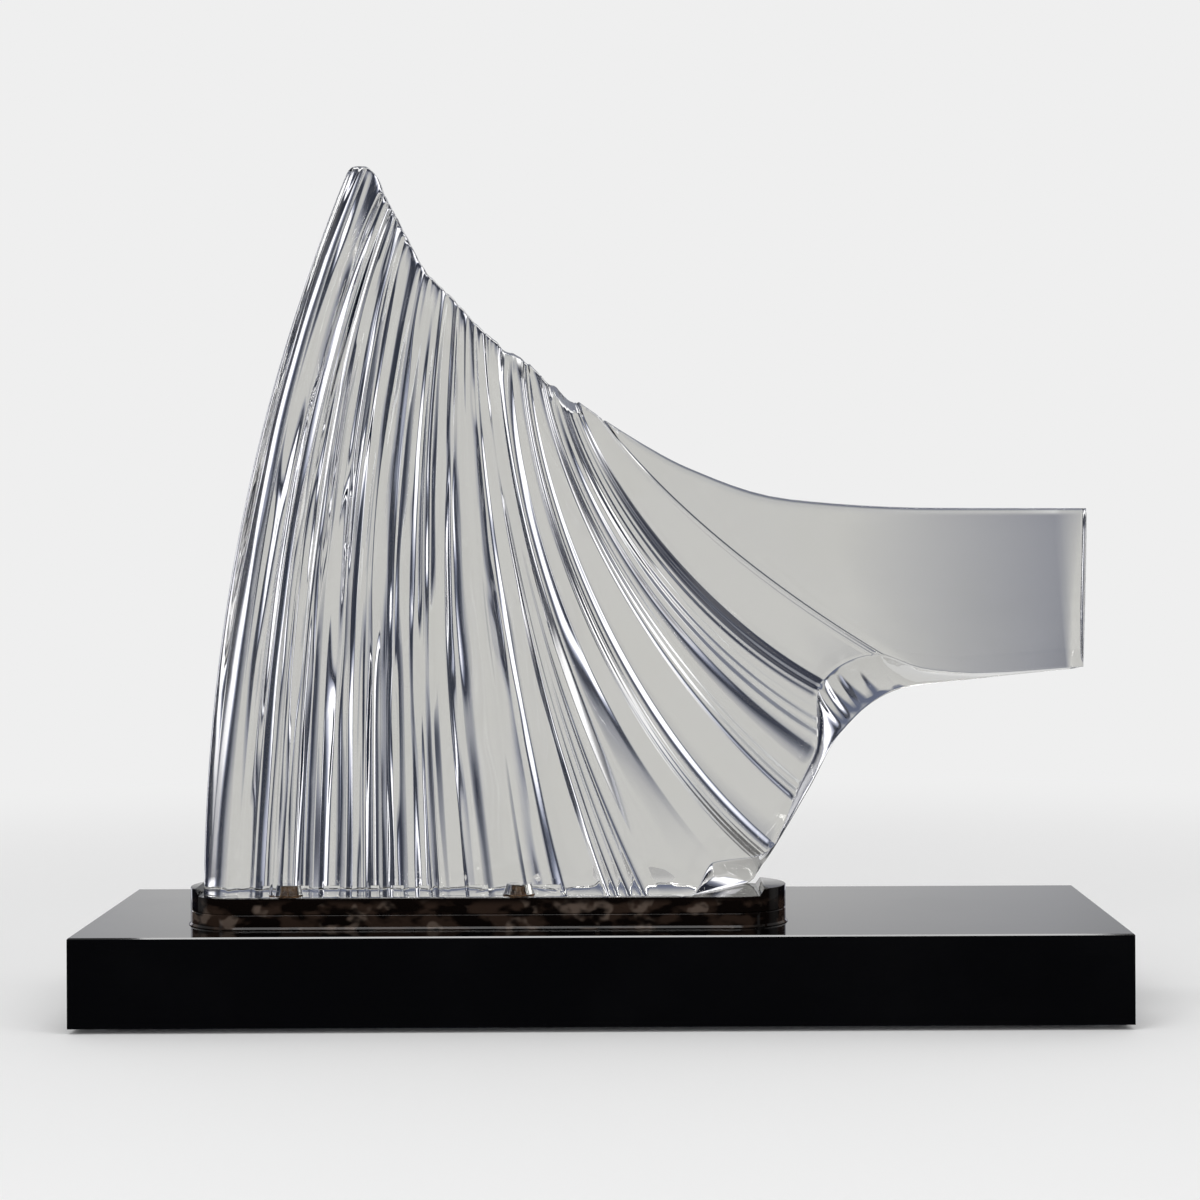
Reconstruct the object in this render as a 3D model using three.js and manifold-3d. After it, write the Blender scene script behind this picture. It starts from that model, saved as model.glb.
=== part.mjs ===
import * as THREE from 'three';
import { mergeVertices } from 'three/addons/utils/BufferGeometryUtils.js';
import Module from 'manifold-3d';

const wasm = await Module();
wasm.setup();

// All sizes are millimetres. X runs to the right, Y to the back, Z up.
// The origin is the middle of the plinth on the surface that the feet stand on.

// Plinth: a box of black acrylic sheet
const plinthLength = 610;
const plinthDepth = 203;
const plinthHeight = 52;
const sheetThickness = 6;
const topBevel = 0.8;
const boardThickness = 6;
const boardGap = 0.5;
const blockSide = 22;

// Rubber feet under the base board
const footRadius = 9;
const footTaper = 1.2;
const footHeight = 3;
const footInsetX = 60;
const footInsetY = 26;

// Smoked mounting plate with round ends and a seat across its top
const plateThickness = 22;
const plateBorder = 2;
const plateBevel = 0.8;
const plateMarginLeft = 8;
const plateMarginRight = 17;
const plateSetback = 58;
const seatDepth = 4;
const seatClearance = 0.4;

// Clear drapery
const drapeInset = 69;
const drapeReach = 523;
const drapeHeight = 430;
const ridgeThickness = 18;
const footThickness = 58;
const armThickness = 43;
const leftEdgeRound = 1.1;
const footBlockMargin = 6.4;
const footBlockHeight = 7;
const footBlockCorner = 6;
const thicknessSpread = 0.6;

// Flutes of the drapery, counted from its left edge
const fluteDepth = 4.2;
const fluteUnevenness = 0.3;
const unevenStep = 2.4;
const fluteDrift = 0.22;
const driftStep = 2.1;
const grooveWidth = 0.44;
const ridgeRelief = 0.4;
const ridgeNotch = 1.2;
const notchFade = 8;
const reliefRun = 0.22;
const backRelief = 0.75;

// Creases and hollows between the sweeping folds
const footHollowDepth = 6.5;
const sweepCreaseDepth = 4.2;
const armHollowDepth = 9;
const bandCreaseDepth = 2.4;
const hollowCurve = 1.7;

// Fixings
const boltRadius = 3;
const boltHeadRadius = 5.5;
const boltHeadHeight = 4;
const boltHoleClearance = 0.4;
const boltTipGap = 1;
const threadGap = 0.3;
const washerRadius = 9;
const washerThickness = 1.6;
const insertRadius = 5.2;
const insertHeight = 6.4;
const pocketGap = 0.3;
const leftBoltOffset = 52;
const rightBoltOffset = 187;
const boltEdgeDistance = 12;
const screwRadius = 2;
const screwHeadRadius = 4;
const screwLength = 20;
const screwGap = 0.3;

// Facets
const roundSides = 20;
const boltSides = 12;
const endSteps = 12;
const weldDistance = 1e-4;

// The folds pass through four lines across the drapery, from the top edge down to the hem.
// Each point is a fold number, then shares of the reach and of the height.
const ridgeLine = [
  [0, 0.165, 0.992], [0.5, 0.1745, 1], [1, 0.186, 0.999], [1.6, 0.2005, 0.985], [2, 0.207, 0.964],
  [6, 0.2265, 0.92], [9, 0.254, 0.857], [12, 0.288, 0.814], [15, 0.3215, 0.77], [17, 0.35, 0.744],
  [18, 0.367, 0.7315], [19, 0.387, 0.708], [20, 0.42, 0.68], [21, 0.455, 0.65], [21.25, 0.5515, 0.582],
  [21.5, 0.665, 0.5385], [21.75, 0.823, 0.526], [22, 1, 0.5245],
];
const shoulderLine = [
  [0, 0.053, 0.664], [2, 0.094, 0.642], [6, 0.151, 0.611], [12, 0.268, 0.539], [15, 0.332, 0.512],
  [17, 0.353, 0.512], [19, 0.41, 0.525], [20, 0.455, 0.532], [21, 0.529, 0.525], [21.5, 0.7, 0.472],
  [22, 0.998, 0.452],
];
const skirtLine = [
  [0, 0.003, 0.33], [2, 0.0725, 0.317], [6, 0.1495, 0.301], [12, 0.282, 0.263], [15, 0.387, 0.249],
  [17, 0.438, 0.228], [18, 0.478, 0.214], [19, 0.529, 0.29], [20, 0.5685, 0.353], [21, 0.6535, 0.408],
  [21.5, 0.79, 0.385], [22, 0.995, 0.38],
];
const footLine = [
  [0, 0, 0], [2, 0.057, 0], [6, 0.144, 0], [12, 0.302, 0], [15, 0.457, 0], [16.6, 0.552, 0],
];
const frontHemLine = [
  ...footLine, [17, 0.5755, 0.045], [18, 0.6335, 0.056], [19, 0.6725, 0.145], [19.5, 0.694, 0.212],
  [20, 0.695, 0.273], [21, 0.765, 0.326], [21.25, 0.816, 0.3055], [21.5, 0.872, 0.3], [22, 0.992, 0.308],
];
const footEnd = 0.615;
const backHemLine = [
  ...footLine, [17, footEnd, 0], [18, 0.639, 0.0305], [19, 0.689, 0.1305], [20, 0.728, 0.214],
  [21, 0.796, 0.274], [21.5, 0.8885, 0.288], [22, 0.992, 0.3005],
];
// Each groove's place and its reach to the left and right are counted in folds
const sweepGrooves = [
  { place: 16.6, left: 0.55, right: 0.55, depth: footHollowDepth, hemShare: 0.35, hollow: true },
  { place: 18, left: 0.22, right: 0.22, depth: sweepCreaseDepth, hemShare: 1.3, hollow: false },
  { place: 19, left: 0.22, right: 0.24, depth: sweepCreaseDepth, hemShare: 1.3, hollow: false },
  { place: 19.9, left: 0.4, right: 0.35, depth: armHollowDepth, hemShare: 0.8, hollow: true },
  { place: 21, left: 0.2, right: 0.1, depth: bandCreaseDepth, hemShare: 1, hollow: false },
];
const firstSweep = 16;
const footFold = 17;
const lastFlute = 21;
const lastFold = 22;
const flutePlaces = [0, 0.14, 0.4, 0.6, 0.86];
const grooveShares = [0, 0.3, 0.6, 0.85, 1, 1.1];
const sweepSteps = 4;
const leastStep = 0.025;
const bandSteps = 10;
const foldSteps = 14;

// Levels and places that follow from the sizes above
const wallHeight = plinthHeight - sheetThickness;
const blockHeight = wallHeight - boardThickness;
const boardTop = footHeight + boardThickness;
const topUnderside = footHeight + wallHeight;
const plinthTop = footHeight + plinthHeight;
const seatFloor = plinthTop + plateThickness - seatDepth;
const plateDepth = footThickness + 2 * plateBorder;
const footBlockLength = drapeReach * footEnd + footBlockMargin;
const footLeft = drapeInset - plinthLength / 2;
const plateMiddleY = plateSetback - plinthDepth / 2;
const plateLength = plateMarginLeft + footBlockLength + plateMarginRight;
const plateLeft = footLeft - plateMarginLeft;
const boltHoleRadius = boltRadius + boltHoleClearance;
const boltForward = footThickness / 2 - boltEdgeDistance;
const boltLineY = plateMiddleY - boltForward;
const boltSpots = {
  left: footLeft + leftBoltOffset,
  right: footLeft + rightBoltOffset,
};

// Value of a smooth line at a fold number, with no overshoot between its points
function lineAt(points, fold, column) {
  const last = points.length - 2;
  let i = 0;
  while (i < last && fold > points[i + 1][0]) i += 1;
  const slope = (k) => (points[k + 1][column] - points[k][column]) / (points[k + 1][0] - points[k][0]);
  const tangent = (k) => {
    if (k === 0) return slope(0);
    if (k === points.length - 1) return slope(k - 1);
    const before = slope(k - 1);
    const after = slope(k);
    return before * after <= 0 ? 0 : (2 * before * after) / (before + after);
  };
  const span = points[i + 1][0] - points[i][0];
  const t = (fold - points[i][0]) / span;
  const rise = points[i + 1][column] - points[i][column];
  const startPull = tangent(i) * span - rise;
  const endPull = rise - tangent(i + 1) * span;
  return points[i][column] + t * rise + t * (1 - t) * ((1 - t) * startPull + t * endPull);
}

// Grooves stand at uneven distances in the narrow flutes
function groovePlace(fold) {
  return fold < firstSweep ? fold + fluteDrift * Math.sin(driftStep * fold) : fold;
}

function grooveDepth(fold) {
  return fluteDepth * (1 + fluteUnevenness * Math.sin(unevenStep * fold));
}

// Depth of the grooves between the rounded flutes, shallower where they meet the top edge
function relief(fold, run) {
  let depth = 0;
  for (let flute = 1; flute < firstSweep; flute += 1) {
    const offset = Math.abs(fold - groovePlace(flute)) / grooveWidth;
    if (offset < 1) depth = Math.max(depth, grooveDepth(flute) * (1 - offset) ** 2);
  }
  for (const groove of sweepGrooves) {
    const offset = (fold - groove.place) / (fold < groove.place ? -groove.left : groove.right);
    const share = groove.hollow ? 1 - offset ** hollowCurve : (1 - offset) ** 2;
    const deepest = groove.depth * THREE.MathUtils.lerp(1, groove.hemShare, run);
    if (offset < 1) depth = Math.max(depth, deepest * share);
  }
  const growth = ridgeRelief + (1 - ridgeRelief) * Math.min(1, run / reliefRun);
  return depth * growth * Math.min(1, fold);
}

// Place on the front or back of the drapery: fold number across, run from 0 at the top edge to 1 at the hem
function foldPoint(fold, run, hemLine) {
  const rest = 1 - run;
  const weights = [rest ** 3, 3 * rest * rest * run, 3 * rest * run * run, run ** 3];
  const lines = [ridgeLine, shoulderLine, skirtLine, hemLine];
  const mix = (column) => lines.reduce((sum, line, k) => sum + weights[k] * lineAt(line, fold, column), 0);
  const notch = ridgeNotch * relief(fold, 0) * rest ** notchFade;
  return { x: mix(1) * drapeReach, z: mix(2) * drapeHeight - notch };
}

function halfThickness(fold, run) {
  const towardArm = THREE.MathUtils.smoothstep(fold, footFold, lastFlute);
  const hemThickness = THREE.MathUtils.lerp(footThickness, armThickness, towardArm);
  const full = ridgeThickness + (hemThickness - ridgeThickness) * run ** thicknessSpread;
  const fromEdge = Math.min(1, fold / leftEdgeRound);
  return (full / 2) * Math.sqrt(1 - (1 - fromEdge) ** 2);
}

function foldNumbers() {
  const folds = [];
  for (let fold = 0; fold < firstSweep; fold += 1) {
    const from = groovePlace(fold);
    const width = groovePlace(fold + 1) - from;
    for (const place of flutePlaces) folds.push(from + place * width);
  }
  const sweep = [];
  for (let fold = firstSweep; fold < lastFlute; fold += 1 / sweepSteps) sweep.push(fold);
  for (const { place, left, right } of sweepGrooves) {
    for (const share of grooveShares) sweep.push(place - left * share, place + right * share);
  }
  sweep.sort((a, b) => a - b);
  for (const fold of sweep) {
    if (fold < lastFlute - leastStep && fold > folds.at(-1) + leastStep) folds.push(fold);
  }
  for (let k = 0; k <= bandSteps; k += 1) folds.push(lastFlute + (k / bandSteps) * (lastFold - lastFlute));
  return folds;
}

// Fluted body: a front and a back surface over the same folds, closed along the top edge, hem and arm end
function drapeBody() {
  const folds = foldNumbers();
  const rows = foldSteps + 1;
  const positions = [];
  const triangles = [];
  const index = (back, column, row) => (back * folds.length + column) * rows + row;
  for (const back of [0, 1]) {
    for (const fold of folds) {
      for (let row = 0; row < rows; row += 1) {
        const run = row / foldSteps;
        const { x, z } = foldPoint(fold, run, back ? backHemLine : frontHemLine);
        const depth = halfThickness(fold, run) - relief(fold, run) * (back ? backRelief : 1);
        positions.push(x, back ? depth : -depth, z);
      }
    }
  }
  const quad = (a, b, c, d) => triangles.push(a, b, c, a, c, d);
  for (let i = 0; i < folds.length - 1; i += 1) {
    for (let j = 0; j < foldSteps; j += 1) {
      quad(index(0, i, j), index(0, i, j + 1), index(0, i + 1, j + 1), index(0, i + 1, j));
      quad(index(1, i, j), index(1, i + 1, j), index(1, i + 1, j + 1), index(1, i, j + 1));
    }
    const top = (back, column) => index(back, column, 0);
    quad(top(0, i), top(0, i + 1), top(1, i + 1), top(1, i));
    const hem = (back, column) => index(back, column, foldSteps);
    quad(hem(0, i), hem(1, i), hem(1, i + 1), hem(0, i + 1));
  }
  const end = folds.length - 1;
  for (let j = 0; j < foldSteps; j += 1) {
    quad(index(0, end, j), index(0, end, j + 1), index(1, end, j + 1), index(1, end, j));
  }
  const geometry = new THREE.BufferGeometry();
  geometry.setAttribute('position', new THREE.Float32BufferAttribute(positions, 3));
  geometry.setIndex(triangles);
  return geometry;
}

// Joining and cutting of closed solids
function solidOf(geometry) {
  const bare = geometry.clone();
  bare.deleteAttribute('normal');
  bare.deleteAttribute('uv');
  const merged = mergeVertices(bare, weldDistance);
  const source = merged.index.array;
  const kept = [];
  for (let i = 0; i < source.length; i += 3) {
    const [a, b, c] = [source[i], source[i + 1], source[i + 2]];
    if (a !== b && b !== c && c !== a) kept.push(a, b, c);
  }
  const mesh = new wasm.Mesh({
    numProp: 3,
    vertProperties: new Float32Array(merged.attributes.position.array),
    triVerts: new Uint32Array(kept),
  });
  return new wasm.Manifold(mesh);
}

function geometryOf(solid) {
  const mesh = solid.getMesh();
  const geometry = new THREE.BufferGeometry();
  geometry.setAttribute('position', new THREE.Float32BufferAttribute(mesh.vertProperties, 3));
  geometry.setIndex(Array.from(mesh.triVerts));
  return geometry;
}

function box(length, depth, height, x, y, z) {
  return new THREE.BoxGeometry(length, depth, height).translate(x, y, z + height / 2);
}

function upright(radius, height, x, y, z, sides = boltSides) {
  const cylinder = new THREE.CylinderGeometry(radius, radius, height, sides);
  return cylinder.rotateX(Math.PI / 2).translate(x, y, z + height / 2);
}

function lathe(profile, sides) {
  const points = profile.map(([radius, height]) => new THREE.Vector2(radius, height));
  return new THREE.LatheGeometry(points, sides).rotateX(Math.PI / 2);
}

function ring(outer, inner, height, sides) {
  return lathe([[inner, 0], [outer, 0], [outer, height], [inner, height], [inner, 0]], sides);
}

// Clear drapery with its foot block and the pockets for the two inserts, foot's left end at x = 0
function drapery() {
  const half = footThickness / 2;
  const outline = new THREE.Shape();
  outline.moveTo(half, -half);
  outline.lineTo(footBlockLength - footBlockCorner, -half);
  outline.absarc(footBlockLength - footBlockCorner, footBlockCorner - half, footBlockCorner, -Math.PI / 2, 0);
  outline.absarc(footBlockLength - footBlockCorner, half - footBlockCorner, footBlockCorner, 0, Math.PI / 2);
  outline.absarc(half, 0, half, Math.PI / 2, (3 * Math.PI) / 2);
  const options = { depth: footBlockHeight, bevelEnabled: false, curveSegments: endSteps };
  let solid = solidOf(drapeBody()).add(solidOf(new THREE.ExtrudeGeometry(outline, options)));
  for (const offset of [leftBoltOffset, rightBoltOffset]) {
    const height = insertHeight + 2 * pocketGap;
    const pocket = upright(insertRadius + pocketGap, height, offset, -boltForward, -pocketGap, roundSides);
    solid = solid.subtract(solidOf(pocket));
  }
  return geometryOf(solid);
}

// Smoked plate, left end at x = 0 and underside at z = 0
function mountingPlate() {
  const radius = plateDepth / 2 - plateBevel;
  const outline = new THREE.Shape();
  outline.absarc(plateLength - plateDepth / 2, 0, radius, -Math.PI / 2, Math.PI / 2);
  outline.absarc(plateDepth / 2, 0, radius, Math.PI / 2, (3 * Math.PI) / 2);
  const slab = new THREE.ExtrudeGeometry(outline, {
    depth: plateThickness - 2 * plateBevel,
    bevelThickness: plateBevel,
    bevelSize: plateBevel,
    bevelSegments: 1,
    curveSegments: 2 * endSteps,
  });
  slab.translate(0, 0, plateBevel);
  const seatLength = footBlockLength + 2 * seatClearance;
  const seatMiddle = plateMarginLeft + footBlockLength / 2;
  const seat = box(seatLength, 2 * plateDepth, 2 * seatDepth, seatMiddle, 0, plateThickness - seatDepth);
  let solid = solidOf(slab).subtract(solidOf(seat));
  for (const offset of [leftBoltOffset, rightBoltOffset]) {
    const x = plateMarginLeft + offset;
    const hole = upright(boltHoleRadius, 3 * plateThickness, x, -boltForward, -plateThickness);
    solid = solid.subtract(solidOf(hole));
  }
  return geometryOf(solid);
}

// Top sheet with bevelled upper edges and the two bolt holes, underside at z = 0
function plinthTopSheet() {
  const halfLength = plinthLength / 2 - topBevel;
  const halfDepth = plinthDepth / 2 - topBevel;
  const outline = new THREE.Shape();
  outline.moveTo(-halfLength, -halfDepth);
  outline.lineTo(halfLength, -halfDepth);
  outline.lineTo(halfLength, halfDepth);
  outline.lineTo(-halfLength, halfDepth);
  const slab = new THREE.ExtrudeGeometry(outline, {
    depth: sheetThickness,
    bevelThickness: topBevel,
    bevelSize: topBevel,
    bevelSegments: 1,
  });
  slab.translate(0, 0, -topBevel);
  const keep = box(2 * plinthLength, 2 * plinthDepth, 2 * sheetThickness, 0, 0, 0);
  let solid = solidOf(slab).intersect(solidOf(keep));
  for (const x of Object.values(boltSpots)) {
    const hole = upright(boltHoleRadius, 4 * sheetThickness, x, boltLineY, -2 * sheetThickness);
    solid = solid.subtract(solidOf(hole));
  }
  return geometryOf(solid);
}

// Countersunk screw, head face down at z = 0; gap makes the hole that it goes through
function screw(gap) {
  const neck = screwHeadRadius - screwRadius;
  return lathe([
    [0, 0], [screwHeadRadius + gap, 0], [screwRadius + gap, neck],
    [screwRadius + gap, screwLength - screwRadius + gap], [0, screwLength + gap],
  ], boltSides);
}

// Hexagon bolt standing on its head at z = 0
function bolt() {
  const shank = washerThickness + sheetThickness + plateThickness - seatDepth + insertHeight - boltTipGap;
  const head = upright(boltHeadRadius, boltHeadHeight, 0, 0, 0, 6);
  const stem = upright(boltRadius, shank + boltHeadHeight / 2, 0, 0, boltHeadHeight / 2);
  return geometryOf(solidOf(head).add(solidOf(stem)));
}

function rubberFoot() {
  return lathe([[0, 0], [footRadius - footTaper, 0], [footRadius, footHeight], [0, footHeight]], roundSides);
}

// Finishes
function finish(color, roughness, metalness, extra = {}) {
  return new THREE.MeshStandardMaterial({ color, roughness, metalness, ...extra });
}

const finishes = {
  clear: () => finish(0xd6d8d4, 0.03, 0, { transparent: true, opacity: 0.45 }),
  smoked: () => finish(0x2e211a, 0.06, 0, { transparent: true, opacity: 0.85 }),
  black: () => finish(0x050506, 0.05, 0),
  board: () => finish(0x1b1a19, 0.6, 0),
  timber: () => finish(0xa98a5f, 0.7, 0),
  brass: () => finish(0x8a6a3c, 0.35, 1),
  steel: () => finish(0x9a9c9f, 0.35, 1),
  rubber: () => finish(0x141414, 0.85, 0),
};

const sculpture = new THREE.Group();

function place(name, geometry, look, x = 0, y = 0, z = 0) {
  const mesh = new THREE.Mesh(geometry, finishes[look]());
  mesh.name = name;
  mesh.position.set(x, y, z);
  sculpture.add(mesh);
}

place('drapery', drapery(), 'clear', footLeft, plateMiddleY, seatFloor);
place('mounting_plate', mountingPlate(), 'smoked', plateLeft, plateMiddleY, plinthTop);

for (const [side, x] of Object.entries(boltSpots)) {
  const insert = ring(insertRadius, boltRadius + threadGap, insertHeight, roundSides);
  const washer = ring(washerRadius, boltHoleRadius, washerThickness, roundSides);
  const washerUnderside = topUnderside - washerThickness;
  place(`insert_${side}`, insert, 'brass', x, boltLineY, seatFloor);
  place(`washer_${side}`, washer, 'steel', x, boltLineY, washerUnderside);
  place(`bolt_${side}`, bolt(), 'steel', x, boltLineY, washerUnderside - boltHeadHeight);
}

place('plinth_top', plinthTopSheet(), 'black', 0, 0, topUnderside);

const frontWallY = (plinthDepth - sheetThickness) / 2;
const endWallX = (plinthLength - sheetThickness) / 2;
const endWallDepth = plinthDepth - 2 * sheetThickness;
place('plinth_front', box(plinthLength, sheetThickness, wallHeight, 0, -frontWallY, footHeight), 'black');
place('plinth_back', box(plinthLength, sheetThickness, wallHeight, 0, frontWallY, footHeight), 'black');
place('plinth_left', box(sheetThickness, endWallDepth, wallHeight, -endWallX, 0, footHeight), 'black');
place('plinth_right', box(sheetThickness, endWallDepth, wallHeight, endWallX, 0, footHeight), 'black');

// Corner blocks, base board and its screws, feet
const blockX = plinthLength / 2 - sheetThickness - blockSide / 2;
const blockY = plinthDepth / 2 - sheetThickness - blockSide / 2;
const boardLength = plinthLength - 2 * sheetThickness - 2 * boardGap;
const boardDepth = plinthDepth - 2 * sheetThickness - 2 * boardGap;
let board = solidOf(box(boardLength, boardDepth, boardThickness, 0, 0, footHeight));

for (const [end, alongX] of [['left', -1], ['right', 1]]) {
  for (const [row, alongY] of [['front', -1], ['back', 1]]) {
    const x = alongX * blockX;
    const y = alongY * blockY;
    const screwHole = solidOf(screw(screwGap).translate(x, y, footHeight));
    board = board.subtract(screwHole);
    const block = solidOf(box(blockSide, blockSide, blockHeight, x, y, boardTop)).subtract(screwHole);
    place(`corner_block_${row}_${end}`, geometryOf(block), 'timber');
    place(`base_screw_${row}_${end}`, screw(0), 'steel', x, y, footHeight);
    const footX = alongX * (plinthLength / 2 - footInsetX);
    const footY = alongY * (plinthDepth / 2 - footInsetY);
    place(`foot_${row}_${end}`, rubberFoot(), 'rubber', footX, footY, 0);
  }
}
place('base_board', geometryOf(board), 'board');

export default sculpture;
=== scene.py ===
import math

import bmesh
import bpy
from mathutils import Matrix, Vector


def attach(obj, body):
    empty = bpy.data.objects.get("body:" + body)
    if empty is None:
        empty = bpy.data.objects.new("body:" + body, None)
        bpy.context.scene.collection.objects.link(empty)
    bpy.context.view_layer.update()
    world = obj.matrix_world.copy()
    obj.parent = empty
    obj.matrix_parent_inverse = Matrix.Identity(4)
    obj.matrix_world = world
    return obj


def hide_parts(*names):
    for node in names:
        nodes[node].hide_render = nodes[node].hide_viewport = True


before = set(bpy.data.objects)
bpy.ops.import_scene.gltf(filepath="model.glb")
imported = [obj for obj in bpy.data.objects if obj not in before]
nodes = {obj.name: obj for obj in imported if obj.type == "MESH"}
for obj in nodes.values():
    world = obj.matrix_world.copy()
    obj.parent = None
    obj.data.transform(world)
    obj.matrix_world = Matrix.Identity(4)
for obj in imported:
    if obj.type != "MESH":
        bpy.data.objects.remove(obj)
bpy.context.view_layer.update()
scene = bpy.context.scene
scene.view_settings.view_transform = "Standard"
print("frame loaded:", len(nodes), "nodes")


# values in node trees that plain sums can be written with, for the shaders and the geometry trees

class Value:
    def __init__(self, socket):
        self.socket = socket
        self.tree = socket.id_data

    def __add__(self, other):
        return maths("ADD", self, other)

    def __sub__(self, other):
        return maths("SUBTRACT", self, other)

    def __rsub__(self, other):
        return maths("SUBTRACT", other, self)

    def __mul__(self, other):
        return maths("MULTIPLY", self, other)

    def __truediv__(self, other):
        return maths("DIVIDE", self, other)

    def __pow__(self, other):
        return maths("POWER", self, other)

    def __abs__(self):
        return maths("ABSOLUTE", self)


def feed(socket, value):
    if isinstance(value, Value):
        value.tree.links.new(value.socket, socket)
    else:
        socket.default_value = value


def addNode(tree, kind, inputs=None, **settings):
    node = tree.nodes.new(kind)
    for name, value in settings.items():
        setattr(node, name, value)
    for name, value in (inputs or {}).items():
        feed(node.inputs[name], value)
    return node


def output(node, name=0):
    return Value(node.outputs[name])


def maths(operation, *values):
    first = next(v for v in values if isinstance(v, Value))
    if first.socket.type == "VECTOR" and operation == "MULTIPLY":
        scaled = {0: values[0], "Scale": values[1]}
        return output(addNode(first.tree, "ShaderNodeVectorMath", scaled, operation="SCALE"), "Vector")
    kind = "ShaderNodeVectorMath" if first.socket.type == "VECTOR" else "ShaderNodeMath"
    return output(addNode(first.tree, kind, dict(enumerate(values)), operation=operation))


def ramp(value, low, high, start=0.0, end=1.0):
    return output(addNode(value.tree, "ShaderNodeMapRange", {
        "Value": value, "From Min": low, "From Max": high, "To Min": start, "To Max": end,
    }, interpolation_type="SMOOTHSTEP"))


def blendColour(factor, first, second):
    node = addNode(factor.tree, "ShaderNodeMix", {"Factor": factor}, data_type="RGBA")
    for name, colour in (("A_Color", first), ("B_Color", second)):
        socket = next(s for s in node.inputs if s.identifier == name)
        feed(socket, colour if isinstance(colour, Value) else (*colour, 1))
    return Value(next(s for s in node.outputs if s.type == "RGBA"))


def noise(vector, scale, detail, roughness=0.5):
    return output(addNode(vector.tree, "ShaderNodeTexNoise", {
        "Vector": vector, "Scale": scale, "Detail": detail, "Roughness": roughness}), "Fac")


def keyOf(label):
    return label[0].lower() + label[1:].replace(" ", "")         # the input Ridge Half takes ridgeHalf


def stretched(vector, scale):
    return output(addNode(vector.tree, "ShaderNodeMapping", {"Vector": vector, "Scale": scale}), "Vector")


# shared surface effects: hand polish on the cast pieces, grain on wood, brushing on metal, painted reflection
# patches in the smoked plate

def shaderGroup(name, sizes, results):
    group = bpy.data.node_groups.new(name, "ShaderNodeTree")
    for label, start in sizes.items():
        socket = group.interface.new_socket(name=label, in_out="INPUT", socket_type="NodeSocketFloat")
        socket.default_value = start
    for label in results:
        group.interface.new_socket(name=label, in_out="OUTPUT", socket_type="NodeSocketFloat")
    given = group.nodes.new("NodeGroupInput")
    ends = group.nodes.new("NodeGroupOutput").inputs
    place = output(addNode(group, "ShaderNodeTexCoord"), "Object")
    return group, {label: output(given, label) for label in sizes}, ends, place


def makePolish():
    group, size, ends, place = shaderGroup(
        "handPolish", {"Wave Size": 30.0, "Mark Size": 400.0, "Haze From": 0.45, "Haze To": 0.75},
        ("Height", "Haze"))
    marks = noise(stretched(place, (1.0, 1.0, 0.25)), size["Mark Size"], 3.0, 0.65)
    feed(ends["Height"], noise(place, size["Wave Size"], 1.0) + marks * 0.04)
    patches = noise(place, size["Wave Size"] * 0.7, 4.0, 0.6)
    feed(ends["Haze"], ramp(patches, size["Haze From"], size["Haze To"]))
    return group


# painted reflections: brown patches and pale flecks that stand in for the drapery mirrored inside the smoked
# plate
def makeReflectionMottle():
    group, size, ends, place = shaderGroup(
        "smokeMottle", {"Patch Size": 100.0, "Clear From": 0.068, "Clear To": 0.073},
        ("Patch", "Light", "Height"))
    level = output(addNode(group, "ShaderNodeSeparateXYZ", {"Vector": place}), "Z")
    low = ramp(level, size["Clear From"], size["Clear To"], 1.0, 0.0)              # no painted reflection patches along the top
    reflectionBlots = noise(stretched(place, (0.7, 1.0, 1.2)), size["Patch Size"], 2.5, 0.5)
    feed(ends["Patch"], ramp(reflectionBlots, 0.44, 0.57) * low)
    reflectionFlecks = noise(place, size["Patch Size"] * 1.1, 1.5, 0.5)
    feed(ends["Light"], ramp(reflectionFlecks, 0.55, 0.65))
    feed(ends["Height"], noise(place, size["Patch Size"], 1.0))
    return group


def makeGrain():
    group, size, ends, place = shaderGroup(
        "woodGrain", {"Ring Size": 60.0, "Fibre Size": 700.0}, ("Tone", "Height"))
    rings = noise(stretched(place, (0.12, 1.0, 1.0)), size["Ring Size"], 4.0, 0.55)
    fibre = noise(stretched(place, (0.04, 1.0, 1.0)), size["Fibre Size"], 2.0, 0.6)
    feed(ends["Tone"], ramp(rings * 0.7 + fibre * 0.3, 0.3, 0.7))
    feed(ends["Height"], fibre)
    return group


def makeBrushing():
    group, size, ends, place = shaderGroup("brushedLines", {"Line Size": 1500.0}, ("Lines", "Tarnish"))
    feed(ends["Lines"], noise(stretched(place, (1.0, 1.0, 0.06)), size["Line Size"], 2.0, 0.6))
    feed(ends["Tarnish"], ramp(noise(place, 220.0, 4.0, 0.6), 0.4, 0.7))
    return group


polishGroup = makePolish()
reflectionMottleGroup = makeReflectionMottle()
grainGroup = makeGrain()
brushGroup = makeBrushing()


def startFinish(name, group, look):
    material = bpy.data.materials.new(name)
    material.use_nodes = True
    tree = material.node_tree
    skin = tree.nodes["Principled BSDF"].inputs
    for label, key in (("IOR", "bend"), ("Transmission Weight", "clear"), ("Specular IOR Level", "gloss")):
        if key in look:
            feed(skin[label], look[key])
    effect = addNode(tree, "ShaderNodeGroup", node_tree=group)
    for socket in effect.inputs:
        if keyOf(socket.name) in look:
            feed(socket, look[keyOf(socket.name)])
    return material, skin, {o.name: Value(o) for o in effect.outputs}


def roughen(skin, height, look):
    bump = addNode(height.tree, "ShaderNodeBump", {
        "Height": height, "Strength": look["bump"], "Distance": look["bumpDepth"]})
    feed(skin["Normal"], output(bump, "Normal"))


def castFinish(name, look):
    material, skin, effect = startFinish(name, polishGroup, look)
    feed(skin["Base Color"], blendColour(effect["Haze"], look["colour"], look["hazeColour"]))
    feed(skin["Roughness"], ramp(effect["Haze"], 0.0, 1.0, look["roughness"], look["hazeRoughness"]))
    roughen(skin, effect["Height"], look)
    return material


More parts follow.
